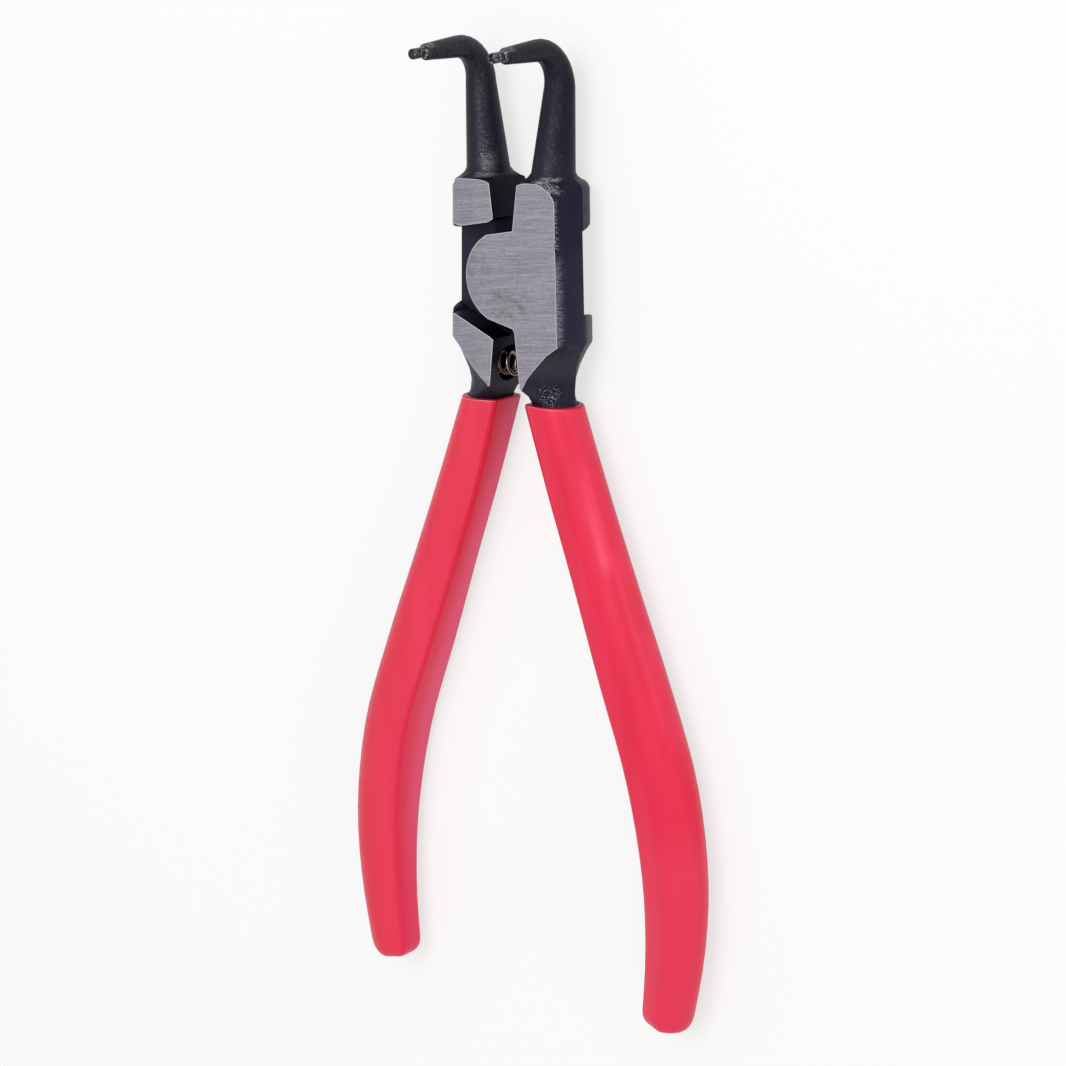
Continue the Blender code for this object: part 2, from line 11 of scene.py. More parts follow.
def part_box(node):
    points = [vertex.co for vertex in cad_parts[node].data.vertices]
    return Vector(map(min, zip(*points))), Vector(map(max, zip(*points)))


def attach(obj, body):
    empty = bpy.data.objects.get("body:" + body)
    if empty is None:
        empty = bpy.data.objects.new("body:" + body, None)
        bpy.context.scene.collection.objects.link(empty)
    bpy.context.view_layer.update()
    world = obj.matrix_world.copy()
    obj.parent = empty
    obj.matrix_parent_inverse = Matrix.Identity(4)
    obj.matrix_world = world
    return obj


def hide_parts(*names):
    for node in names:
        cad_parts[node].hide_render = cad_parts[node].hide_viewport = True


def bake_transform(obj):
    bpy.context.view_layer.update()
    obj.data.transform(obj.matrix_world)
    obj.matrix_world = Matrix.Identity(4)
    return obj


MM = 0.001

# Places on the tool, in millimetres: Y runs up to the tips and Z off the joint's back face
FRONT = 10.2               # height of the joint's front face
ORIGIN_TO_MIDDLE = FRONT / 2
ARM_MIDDLE = 5.06          # how far out an arm's middle line would pass the rivet
ARM_SPREAD = 0.0968        # by how much that line moves out, per millimetre up
ARM_BEND = 32.05           # how far up the bend starts, past which it moves out no more
NOSE_END = 20.3            # height of the arms' ends, where the pins come out
NOSE_X = 8.16              # how far out a pin's axis lies
NOSE_Y = 37.93             # how far up the mouth of a pin's bore lies
PIN_LEAN = 0.0349          # by how much a pin's axis leans back, per millimetre of height

# Stretches of a lever along Y, in millimetres
FOOT_START = (16.9, 17.7)  # where the arm's rough foot fades in
FOOT_END = (19.0, 28.5)    # where it fades out
ARM_START = (18.0, 23.0)   # where the arm's own tone fades in
SHOULDER = (14.6, 17.0)    # the shoulder's rim
FACE_EDGE = (5.2, 14.8)    # worn edge of the ground face beside the shoulder
BLOCK_TOP = (5.0, 17.0)    # upper part of the joint block
BLOCK = (-12.5, 15.5)      # the joint block's outer side
BEVEL = (-7.8, 6.2)        # the bevel along the lap face's outer edge
STEP = (-11.8, -5.0)       # the block's step beside the neck
CUTS = (-15.5, 16.8)       # the cuts between the blocks
NECK_TOP = (-16.2, -11.8)  # where the neck leaves the block
NECK_END = (-22.9, -17.4)  # the neck's rough lower end

# Colours of the blackened skin, as linear red, green and blue
SKIN_DARK = (0.0115, 0.0102, 0.0215)
SKIN_PALE = (0.0200, 0.0180, 0.0330)
SKIN_DRAWN = (0.038, 0.036, 0.041)
SKIN_SCALE = (0.044, 0.042, 0.049)
NECK_GREY = (0.052, 0.048, 0.060)
# Soot, and painted shade in the cuts between the blocks
SOOT_AND_SHADE = (0.0034, 0.0022, 0.0120)
BLUED = (0.0175, 0.0135, 0.0430)
STEP_PALE = (0.105, 0.098, 0.125)
# Painted highlight up the arm
ARM_HIGHLIGHT = (0.090, 0.084, 0.080)
FOOT_WORN = (0.150, 0.142, 0.140)
BARE_SPECK = (0.42, 0.41, 0.42)
BEVEL_MARK = (0.245, 0.228, 0.255)
# Painted highlight on rubbed grain
RUBBED_HIGHLIGHT = (0.27, 0.265, 0.275)
EDGE_WORN = (0.19, 0.185, 0.20)

# Where the two levers' skins differ: shares of roughness at the foot and on the neck, of darkening on the
# arm, of the painted highlight streak up the arm and of wear at its foot
RIGHT_SKIN = SimpleNamespace(foot=0.35, neck=0.76, arm=0.24, highlight_streak=0.20, toe=0.0)
LEFT_SKIN = SimpleNamespace(foot=0.72, neck=0.1, arm=0.08, highlight_streak=0.38, toe=0.55)

# The ground faces
GRAIN_TILT = 6.5           # degrees by which the grinding lines lean from straight across
BLOT_TILT = -20.0          # degrees by which the stains' blots lean
RIVET_REACH = (5.6, 6.2)   # distance from the rivet's axis past which edges catch the light
FLAT_NORMAL = 0.9995       # least that a ground face's normal stands upright
PLANE_GAP = 0.01           # most that such a face lies off its plane, in millimetres
GROUND_DARK = (0.176, 0.168, 0.203)
GROUND_BRIGHT = (0.372, 0.357, 0.405)
GROUND_CLOUD = (0.290, 0.276, 0.310)
GROUND_SHADE = (0.130, 0.122, 0.145)
GROUND_EDGE = (0.68, 0.66, 0.70)

# Stains: a brownish one below the rivet's middle and two faint grey ones beside it
STAINS = (
    SimpleNamespace(middle=(0.6, -4.6), spans=(7.0, 4.2), share=0.62, colour=(0.118, 0.094, 0.088)),
    SimpleNamespace(middle=(-5.7, 1.2), spans=(4.4, 5.4), share=0.50, colour=(0.150, 0.136, 0.148)),
    SimpleNamespace(middle=(3.0, 2.0), spans=(5.0, 4.0), share=0.25, colour=(0.150, 0.142, 0.160)),
)

# The dipped grips; the left one's paler red is painted reflection of white light on its flatter front. Each
# holds the inner wall's painted shade, the share of the painted highlight along the ridge, and the shares
# of the painted shade line on the inner wall at the handle's end and toward the mouth
LEFT_DIP = SimpleNamespace(thin=(0.81, 0.032, 0.072), thick=(0.87, 0.042, 0.092),
                           shaded_wall=(0.85, 0.022, 0.090), ridge_highlight=0.25, deep_shade=(0.30, 0.75))
RIGHT_DIP = SimpleNamespace(thin=(0.82, 0.017, 0.062), thick=(0.88, 0.024, 0.082),
                            shaded_wall=(0.84, 0.014, 0.066), ridge_highlight=0.06, deep_shade=(0.12, 0.12))
# Painted highlight along the ridge, painted shade on the inner wall beside it and painted light toward the
# wall's back
RIDGE_HIGHLIGHT = (0.88, 0.040, 0.115)
WALL_SHADE = (0.78, 0.003, 0.036)
WALL_BACK_LIGHT = (0.86, 0.070, 0.180)
# Painted shade on the left grip's faces that turn toward minus X
LEFT_OUTER_SHADE = (0.80, 0.012, 0.056)
# Painted highlight down the right grip's back
GRIP_HIGHLIGHT = (0.97, 0.085, 0.175)
END_PALE = (0.85, 0.038, 0.092)
# Painted shade on the flanks, and the darker edges
FLANK_SHADE = (0.40, 0.004, 0.070)
EDGE_DARK = (0.56, 0.003, 0.024)
# Painted shade in the grip's mouth and a painted highlight round its front
MOUTH_SHADE = (0.20, 0.002, 0.012)
MOUTH_HIGHLIGHT = (0.95, 0.26, 0.34)

# The painted highlight streak down the right grip's back, in millimetres
GRIP_HIGHLIGHT_X = 4.05               # where its line would pass the rivet
GRIP_HIGHLIGHT_LEAN = -0.3264         # by how much that line moves out, per millimetre up
GRIP_HIGHLIGHT_REACH = 1.35           # how far it fades to each side
GRIP_HIGHLIGHT_LOW = -47.6            # its lower end
GRIP_HIGHLIGHT_HIGH = -22.2           # its upper end

# Shapes made here, in millimetres
RIVET_EDGE = 4.88          # radius of the rivet's flush head, as filed over its seat
RIVET_SHANK = 2.6          # radius of its shank
RIVET_HEAD = 2.0           # depth of its countersunk head
RIVET_STEPS = 96
LIP_STEPS = 40
WIRE = 0.34                # radius of the spring's wire
WIRE_STEPS = 14
SPRING_TURNS = 6.5
SPRING_STEPS = 40          # points on each turn of the spring
CLOSED_TURNS = 0.8         # turns that lie closed at each end
CLOSED_PITCH = 2.1 * WIRE

# Smoothing: edges that turn by less than these degrees are shaded smooth
SMOOTH_LEVER = 25
SMOOTH_TIP = 28
SMOOTH_GRIP = 50
WELD = 2e-6                # metres within which the facets' corners are one

# Stage, light and camera
FLOOR_REACH = 3.0          # metres from the floor's middle to its edges
FLOOR_DROP = 0.00005       # metres by which the floor lies below the tool
FLOOR_LIFT = 0.68          # share of plain white in the floor, as the camera sees it
ROOM_LEVEL = 0.585         # light from all round
ROOM_SLOPE = 0.12          # how much more of it comes from plus X
LIGHT_TARGET = (0.0, -0.045, 0.0)
LENS = 102.5462            # focal length, in millimetres
FILM_WIDTH = 36.0          # width of the frame that it is stated for
CAMERA_NEAR = 0.01         # metres within which nothing is drawn
CAMERA_TURN = 36.6045      # degrees about Y from straight in front
CAMERA_TILT = 13.6617      # degrees up toward the tips
CAMERA_ROLL = -0.4631      # degrees about the line of sight
CAMERA_DISTANCE = 512.079  # millimetres from the middle of the joint
CENTRE_RIGHT = 1.9092      # millimetres from there to the picture's centre, to the right
CENTRE_UP = -43.5484       # and upward


# Node wiring

class Wiring:
    """Builds one tree's nodes; a value is a number, a tuple or another node's output."""

    def __init__(self, tree):
        self.tree = tree
        self.tree.nodes.clear()
        self.source = self.add("ShaderNodeTexCoord").outputs

    def add(self, kind, settings=None, **values):
        made = self.tree.nodes.new(kind)
        for key, value in (settings or {}).items():
            setattr(made, key, value)
        for key, value in values.items():
            self.put(made.inputs[key.replace("_", " ")], value)
        return made

    def put(self, socket, value):
        if isinstance(value, bpy.types.NodeSocket):
            self.tree.links.new(value, socket)
        elif isinstance(value, tuple) and len(value) == 3 and socket.type == "RGBA":
            socket.default_value = (*value, 1.0)
        else:
            socket.default_value = value

    def math(self, operation, first, second=0.0, third=None, clamp=False):
        made = self.add("ShaderNodeMath", {"operation": operation, "use_clamp": clamp})
        self.put(made.inputs[0], first)
        self.put(made.inputs[1], second)
        if third is not None:
            self.put(made.inputs[2], third)
        return made.outputs[0]

    def times(self, first, *others):
        for other in others:
            first = self.math("MULTIPLY", first, other)
        return first

    def most(self, first, *others):
        for other in others:
            first = self.math("MAXIMUM", first, other)
        return first

    def length(self, first, second):
        squares = self.math("ADD", self.times(first, first), self.times(second, second))
        return self.math("SQRT", squares)

    def ramp(self, value, low, high, to_low=0.0, to_high=1.0):
        """Smooth step of value from low..high to to_low..to_high."""
        made = self.add("ShaderNodeMapRange", {"interpolation_type": "SMOOTHSTEP"})
        for key, number in (("Value", value), ("From Min", low), ("From Max", high),
                            ("To Min", to_low), ("To Max", to_high)):
            self.put(made.inputs[key], number)
        return made.outputs["Result"]

    def fall(self, value, low, high):
        """Smooth step from one at low to nothing at high."""
        return self.ramp(value, low, high, 1.0, 0.0)

    def band(self, value, low, high, soft):
        """One between low and high, fading out over soft on both sides."""
        return self.times(self.ramp(value, low - soft, low + soft),
                          self.fall(value, high - soft, high + soft))

    def stretched(self, scale, turned=0.0):
        """The place on the object, in millimetres times scale, turned about Z first."""
        place = self.source["Object"]
        if turned:
            turn = self.add("ShaderNodeVectorRotate", {"rotation_type": "Z_AXIS"}, Vector=place,
                            Angle=-math.radians(turned))
            place = turn.outputs[0]
        made = self.add("ShaderNodeVectorMath", {"operation": "MULTIPLY"})
        self.put(made.inputs[0], place)
        self.put(made.inputs[1], tuple(part / MM for part in scale))
        return made.outputs[0]

    def noise(self, scale, detail=4.0, roughness=0.55, warp=0.0, turned=0.0):
        made = self.add("ShaderNodeTexNoise", Vector=self.stretched(scale, turned), Scale=1.0,
                        Detail=detail, Roughness=roughness, Distortion=warp)
        return made.outputs["Fac"]

    def mix(self, share, first, second):
        """Mixes two colours, which are the node's seventh and eighth inputs."""
        made = self.add("ShaderNodeMix", {"data_type": "RGBA"})
        self.put(made.inputs[0], share)
        self.put(made.inputs[6], first)
        self.put(made.inputs[7], second)
        return made.outputs[2]

    def paint(self, base, coats):
        """Lays coats over base in their order, each a share and a colour."""
        for share, colour in coats:
            base = self.mix(share, base, colour)
        return base

    def split(self, vector):
        return self.add("ShaderNodeSeparateXYZ", Vector=vector).outputs

    def axes(self):
        """X, Y and Z of the place on the object, in millimetres."""
        return self.split(self.stretched((1.0, 1.0, 1.0)))

    def seen_directly(self):
        """One for what the camera sees itself, in a reflection or through something clear."""
        light = self.add("ShaderNodeLightPath").outputs
        return self.most(light["Is Camera Ray"], light["Is Glossy Ray"], light["Is Transmission Ray"])


class Finish(Wiring):
    """One material's nodes."""

    def __init__(self, name):
        self.material = bpy.data.materials.new(name)
        self.material.use_nodes = True
        super().__init__(self.material.node_tree)

    def bump(self, height, depth_mm, base=None):
        made = self.add("ShaderNodeBump", Strength=1.0, Distance=depth_mm * MM, Height=height)
        if base is not None:
            self.put(made.inputs["Normal"], base)
        return made.outputs[0]

    def rounded(self, radius_mm):
        return self.add("ShaderNodeBevel", {"samples": 6}, Radius=radius_mm * MM).outputs[0]

    def edge(self, radius_mm, low, high):
        """Share of edge: how far the rounded normal leans away from the flat one."""
        flat = self.add("ShaderNodeNewGeometry").outputs["Normal"]
        made = self.add("ShaderNodeVectorMath", {"operation": "DOT_PRODUCT"})
        self.put(made.inputs[0], self.rounded(radius_mm))
        self.put(made.inputs[1], flat)
        return self.fall(made.outputs["Value"], low, high)

    def surface(self, colour, roughness, metallic, normal=None, **direct):
        shader = self.add("ShaderNodeBsdfPrincipled")
        self.put(shader.inputs["Base Color"], colour)
        self.put(shader.inputs["Roughness"], roughness)
        self.put(shader.inputs["Metallic"], metallic)
        if normal is not None:
            self.put(shader.inputs["Normal"], normal)
        for key, value in direct.items():
            shader.inputs[key.replace("_", " ")].default_value = value
        return shader.outputs[0]

    def done(self, surface):
        self.add("ShaderNodeOutputMaterial", Surface=surface)
        return self.material


# The forged and blackened levers. lap is one for the right one, whose disc lies in front, and minus one
# for the left one

def lever_places(w, lap):
    """Where a point lies: out from the rivet, below the lap face and off the arm's middle line."""
    x, y, z = w.axes()
    middle = w.math("MULTIPLY_ADD", w.math("MINIMUM", y, ARM_BEND), lap * ARM_SPREAD, lap * ARM_MIDDLE)
    return SimpleNamespace(y=y, z=z, side=w.math("ABSOLUTE", x),
                           depth=w.math("SUBTRACT", FRONT, z) if lap > 0 else z,
                           flank=w.math("SUBTRACT", x, middle))


def forged_grain(w):
    """The skin's unevenness, from broad patches down to single grains."""
    grain = SimpleNamespace(coarse=w.noise((0.22, 0.22, 0.22), 3.0),
                            skin=w.noise((1.5, 1.5, 1.5), 6.0, 0.62),
                            grit=w.noise((5.2, 4.6, 5.2), 2.0, 0.75),
                            drawn=w.noise((2.4, 0.35, 2.4), 4.0, 0.6),
                            strokes=w.noise((0.9, 3.6, 0.9), 5.0, 0.72))
    grain.gritty = w.math("ADD", grain.grit, grain.skin)
    return grain


def rough_patches(w, at, grain, shares):
    """The skin is roughest at the arm's foot, round the shoulder's corner and low on the neck."""
    spread = w.math("MULTIPLY_ADD", grain.coarse, 6.0, -3.0)
    foot = w.times(w.fall(w.math("ADD", at.y, spread), *FOOT_END), w.ramp(at.y, *FOOT_START),
                   w.band(at.flank, 0.7, 3.4, 0.7), shares.foot)
    rim = w.times(w.band(at.y, *SHOULDER, 0.5), w.ramp(at.side, 4.8, 6.8),
                  w.ramp(at.depth, 0.5, 3.2, 1.4, 0.15))
    border = w.times(w.band(at.y, *FACE_EDGE, 0.9), w.ramp(at.side, 10.0, 10.6),
                     w.fall(at.depth, 0.2, 1.1))
    neck = w.times(w.band(w.math("MULTIPLY_ADD", spread, 0.3, at.y), *NECK_END, 1.1),
                   w.ramp(at.side, 5.4, 7.0), w.ramp(at.side, 8.8, 10.4, 1.0, 0.15), shares.neck)
    return SimpleNamespace(rim=rim, border=border, neck=neck, all=w.most(foot, neck, rim, border))


def bare_specks(w, grain, rough):
    """Grains worn bare, which are more and brighter where the skin is rough."""
    found = w.ramp(grain.grit, w.math("MULTIPLY_ADD", rough, -0.17, 0.69),
                   w.math("MULTIPLY_ADD", rough, -0.13, 0.75))
    return w.times(found, w.math("MULTIPLY_ADD", rough, 0.72, 0.10))


def marked_bevel(w, at, grain):
    """The bevel ground along the lap face's outer edge, with its uneven cross marks."""
    along = w.band(w.math("MULTIPLY_ADD", grain.coarse, 5.0, at.y), *BEVEL, 1.6)
    reach = w.math("MULTIPLY_ADD", grain.strokes, 2.2, -0.55)
    return w.times(w.fall(w.math("SUBTRACT", at.depth, reach), -0.6, 0.45), along,
                   w.ramp(at.side, 10.3, 10.8), w.ramp(grain.strokes, 0.34, 0.62, 0.25, 1.0))


def soot_and_shade(w, at, patches, shares):
    """Soot where the rough patches lie and painted shade in the cuts between the blocks, which are darkest;
    also darker over the block's top and up the arm.
    """
    cuts = w.times(w.fall(at.side, 5.2, 6.6), w.band(at.y, *CUTS, 0.6), 0.62)
    top = w.times(w.band(at.y, *BLOCK_TOP, 2.0), 0.26)
    worn = w.times(w.most(patches.border, patches.rim), 0.5)
    arm = w.ramp(at.y, *ARM_START, 0.0, shares.arm)
    return w.most(cuts, top, worn, w.times(patches.neck, 0.6), arm)


def block_coats(w, at):
    """The block's outer side is bluer, and its step beside the neck is paler."""
    side = w.times(w.ramp(at.side, 9.6, 11.2), w.band(at.y, *BLOCK, 1.2), 0.45)
    step = w.times(w.ramp(at.side, 11.6, 12.3), w.band(at.y, *STEP, 0.5), w.ramp(at.depth, 4.6, 7.2), 0.8)
    return [(side, BLUED), (step, STEP_PALE)]


def foot_coats(w, at, grain, shares):
    """A painted highlight streak up the arm, broken up by the grit, and wear at its foot."""
    highlight_streak = w.times(w.band(at.flank, 0.7, 2.1, 0.6), w.ramp(at.y, 17.5, 19.0),
                     w.ramp(grain.gritty, 0.94, 1.12), shares.highlight_streak)
    toe = w.times(w.band(at.flank, 1.4, 3.0, 0.6), w.band(at.y, 17.6, 20.2, 1.2),
                  w.ramp(grain.gritty, 0.84, 1.06, 0.25, 1.0), shares.toe)
    return [(highlight_streak, ARM_HIGHLIGHT), (toe, FOOT_WORN)]


def rubbed_highlight_spots(w, at, grain):
    """Painted highlights on rubbed grain: the foot's lower corner and the nose's end."""
    corner = w.times(w.band(at.y, 16.7, 17.2, 0.3), w.band(at.flank, 0.4, 3.2, 0.5),
                     w.ramp(grain.gritty, 0.86, 1.04), 0.8)
    tip = w.times(w.band(at.flank, -0.6, 1.3, 0.4), w.ramp(at.z, NOSE_END - 2.2, NOSE_END - 0.9),
                  w.ramp(at.y, 38.4, 38.9), w.ramp(grain.grit, 0.42, 0.56), 0.7)
    return w.most(corner, tip)


def black_steel(name, lap):
    """Forged and blackened skin, with its worn and sooty places, painted shade in its cuts and painted
    highlights up the arm and on rubbed spots.
    """
    w = Finish(name)
    shares = RIGHT_SKIN if lap > 0 else LEFT_SKIN
    at = lever_places(w, lap)
    grain = forged_grain(w)
    patches = rough_patches(w, at, grain, shares)
    dark = soot_and_shade(w, at, patches, shares)
    base = w.mix(grain.coarse, SKIN_DARK, SKIN_PALE)
    base = w.paint(base, [(w.ramp(grain.drawn, 0.50, 0.72, 0.0, 0.5), SKIN_DRAWN),
                          (w.ramp(grain.skin, 0.50, 0.72, 0.0, 0.35), SKIN_SCALE),
                          (w.times(w.band(at.y, *NECK_TOP, 1.4), 0.42), NECK_GREY),
                          (dark, SOOT_AND_SHADE)])
    base = w.paint(base, block_coats(w, at) + foot_coats(w, at, grain, shares))
    worn = w.times(w.edge(0.16, 0.86, 0.99), w.ramp(grain.skin, 0.46, 0.68), 0.5)
    base = w.paint(base, [(bare_specks(w, grain, patches.all), BARE_SPECK),
                          (w.times(marked_bevel(w, at, grain), 0.73), BEVEL_MARK),
                          (rubbed_highlight_spots(w, at, grain), RUBBED_HIGHLIGHT),
                          (worn, EDGE_WORN)])
    height = w.times(w.math("MULTIPLY_ADD", grain.grit, 0.6, grain.skin),
                     w.math("MULTIPLY_ADD", patches.all, 0.65, 0.35))
    return w.done(w.surface(base, w.math("MULTIPLY_ADD", grain.skin, 0.3, 0.34),
                            w.math("MULTIPLY_ADD", dark, 0.4, 0.75, clamp=True),
                            w.bump(height, 0.12, w.rounded(0.18))))


# The ground faces, and the rivet filed with them

def ground_steel(name):
    """Ground across, with fine uneven lines and faint stains round the rivet."""
    w = Finish(name)
    x, y, _ = w.axes()
    lines = w.noise((0.22, 7.5, 0.22), 5.0, 0.78, turned=GRAIN_TILT)
    long_lines = w.noise((0.05, 2.4, 0.05), 3.0, 0.6, turned=GRAIN_TILT)
    cloud = w.noise((0.32, 0.42, 0.32), 4.0, 0.62)
    fine = w.noise((3.2, 5.0, 3.2), 3.0, 0.7)
    blots = w.noise((0.42, 0.78, 0.42), 5.0, 0.70, 0.25, turned=BLOT_TILT)
    tone = w.math("ADD", w.times(lines, 0.50), w.times(long_lines, 0.2))
    tone = w.math("MULTIPLY_ADD", fine, 0.30, tone)
    base = w.mix(w.ramp(tone, 0.38, 0.62), GROUND_DARK, GROUND_BRIGHT)
    base = w.mix(w.ramp(cloud, 0.35, 0.75, 0.0, 0.25), base, GROUND_CLOUD)
    spots = w.math("MULTIPLY_ADD", fine, 0.22, w.times(blots, 0.78))
    for stain in STAINS:
        away = w.length(*(w.math("MULTIPLY_ADD", value, 1.0 / span, -middle / span)
                          for value, span, middle in zip((x, y), stain.spans, stain.middle)))
        near = w.fall(away, 0.3, 1.15)
        found = w.ramp(spots, w.math("MULTIPLY_ADD", near, -0.12, 0.56),
                       w.math("MULTIPLY_ADD", near, -0.05, 0.70))
        base = w.mix(w.times(found, near, stain.share), base, stain.colour)
    base = w.mix(w.ramp(x, -7.5, -5.0, 0.13, 0.0), base, GROUND_SHADE)
    # The outer edges catch the light; the rivet's own edge is ground away
    edge = w.times(w.edge(0.30, 0.96, 0.998), w.ramp(w.length(x, y), *RIVET_REACH), 0.85)
    base = w.mix(edge, base, GROUND_EDGE)
    return w.done(w.surface(base, w.ramp(tone, 0.3, 0.7, 0.50, 0.38), 0.85,
                            w.bump(tone, 0.012, w.rounded(0.12))))


# The pins, the noses' lips and the spring's wire

def pin_steel(name):
    """Hardened and blackened pins, scuffed brighter in short bands and at their ends."""
    w = Finish(name)
    turning = w.noise((0.5, 0.5, 7.0), 4.0, 0.6)
    blotch = w.noise((1.6, 1.6, 3.2), 4.0, 0.65)
    base = w.mix(w.ramp(turning, 0.35, 0.7), (0.013, 0.012, 0.017), (0.040, 0.037, 0.045))
    base = w.paint(base, [(w.ramp(blotch, 0.52, 0.62, 0.0, 0.75), (0.30, 0.29, 0.305)),
                          (w.times(w.edge(0.12, 0.86, 0.99), 0.7), (0.34, 0.33, 0.345))])
    return w.done(w.surface(base, w.ramp(turning, 0.3, 0.7, 0.40, 0.26), 0.9,
                            w.bump(w.math("ADD", turning, blotch), 0.05, w.rounded(0.12))))


def peened_steel(name):
    """The nose's end, hammered in round the pin."""
    w = Finish(name)
    dents = w.noise((2.6, 2.6, 2.6), 4.0, 0.7)
    base = w.mix(w.ramp(dents, 0.46, 0.58), (0.016, 0.015, 0.021), (0.30, 0.295, 0.31))
    return w.done(w.surface(base, 0.42, 0.8, w.bump(dents, 0.1)))


def spring_wire(name):
    """Drawn wire with a brown skin."""
    w = Finish(name)
    drawn = w.noise((3.0, 0.8, 0.8), 4.0, 0.6)
    base = w.mix(w.ramp(drawn, 0.35, 0.7), (0.105, 0.072, 0.070), (0.40, 0.32, 0.305))
    return w.done(w.surface(base, w.ramp(drawn, 0.3, 0.7, 0.28, 0.16), 1.0, w.bump(drawn, 0.02)))


# The dipped grips. inward is the X side that a grip's inner wall faces

def grip_places(w, inward):
    """Where a point lies and which way it faces; into is one where it faces the other grip."""
    x, y, z = w.axes()
    across, along, above = w.split(w.source["Normal"])
    return SimpleNamespace(x=x, y=y, z=z, across=across, along=along, above=above,
                           into=w.times(across, inward))


def wall_coats(w, at, dip):
    """A painted highlight along the ridge, then the inner wall in painted shade: a painted shade line just
    past the ridge and painted light toward the back.
    """
    ridge_highlight = w.times(w.band(at.into, 0.10, 0.26, 0.06), dip.ridge_highlight)
    deep_shade = w.times(w.ramp(at.into, 0.34, 0.60), w.ramp(at.z, 5.2, 7.6),
                   w.ramp(at.y, -75.0, -30.0, *dip.deep_shade))
    # Painted light on the inner wall toward its back
    back = w.times(w.ramp(at.into, 0.50, 0.80), w.fall(at.z, 2.8, 7.2),
                   w.ramp(at.y, -118.0, -96.0, 0.2, 1.0))
    return [(ridge_highlight, RIDGE_HIGHLIGHT), (w.ramp(at.into, 0.36, 0.72), dip.shaded_wall), (deep_shade, WALL_SHADE),
            (back, WALL_BACK_LIGHT)]


def highlight_and_end_coats(w, at):
    """A painted highlight streak down the right grip's back, on faces turned up, and that grip's paler end.
    """
    off_line = w.math("SUBTRACT", at.x, w.math("MULTIPLY_ADD", at.y, GRIP_HIGHLIGHT_LEAN, GRIP_HIGHLIGHT_X))
    highlight_streak = w.times(w.fall(w.math("ABSOLUTE", off_line), 0.0, GRIP_HIGHLIGHT_REACH), w.ramp(at.above, 0.2, 0.5),
                     w.ramp(at.y, GRIP_HIGHLIGHT_LOW - 2.5, GRIP_HIGHLIGHT_LOW + 1.5), w.ramp(at.y, GRIP_HIGHLIGHT_LOW, GRIP_HIGHLIGHT_HIGH, 0.85, 0.0))
    return [(highlight_streak, GRIP_HIGHLIGHT), (w.ramp(at.y, -100.0, -88.0, 0.8, 0.0), END_PALE)]


def mouth_coats(w, at):
    """Painted shade on the mouth's end, with a thin painted highlight round its front."""
    lean = w.split(w.rounded(0.4))[1]
    rim_highlight = w.times(w.ramp(lean, 0.22, 0.42), w.fall(at.along, 0.3, 0.5),
                   w.ramp(at.above, 0.5, 0.8, 0.1, 0.75))
    return [(w.ramp(at.along, 0.5, 0.8, 0.0, 0.8), MOUTH_SHADE), (rim_highlight, MOUTH_HIGHLIGHT)]


def red_sleeve(name, inward):
    """Dipped soft plastic, with painted shade on its flanks that turn away from plus X or downward, and
    darker along its edges.
    """
    w = Finish(name)
    left = inward > 0
    dip = LEFT_DIP if left else RIGHT_DIP
    at = grip_places(w, inward)
    peel = w.noise((0.50, 0.16, 0.50), 4.0, 0.5)
    fine = w.noise((4.0, 3.0, 4.0), 3.0, 0.55)
    flow = w.noise((0.22, 0.02, 0.22), 3.0, 0.5)
    base = w.mix(w.ramp(flow, 0.3, 0.7), dip.thin, dip.thick)
    base = w.paint(base, wall_coats(w, at, dip))
    if left:
        # Painted shade on the left grip's faces that turn toward minus X
        base = w.mix(w.ramp(at.across, -0.45, 0.0, 0.85, 0.0), base, LEFT_OUTER_SHADE)
    else:
        base = w.paint(base, highlight_and_end_coats(w, at))
    # Painted shade on faces turned toward minus X or downward; the edges are darker
    flank = w.times(w.most(w.fall(at.across, -0.84, -0.50), w.fall(at.above, -0.5, -0.1)), 0.6)
    base = w.paint(base, [(flank, FLANK_SHADE), (w.times(w.edge(0.45, 0.93, 0.998), 0.45), EDGE_DARK)])
    base = w.paint(base, mouth_coats(w, at))
    normal = w.bump(w.math("MULTIPLY_ADD", fine, 0.08, peel), 0.04, w.rounded(0.2))
    return w.done(w.surface(base, w.ramp(peel, 0.3, 0.7, 0.32, 0.40), 0.0, normal, Specular_IOR_Level=0.28,
                            Subsurface_Weight=0.04, Subsurface_Scale=0.001))


# Smooth shading with sharp edges, without touching the CAD meshes

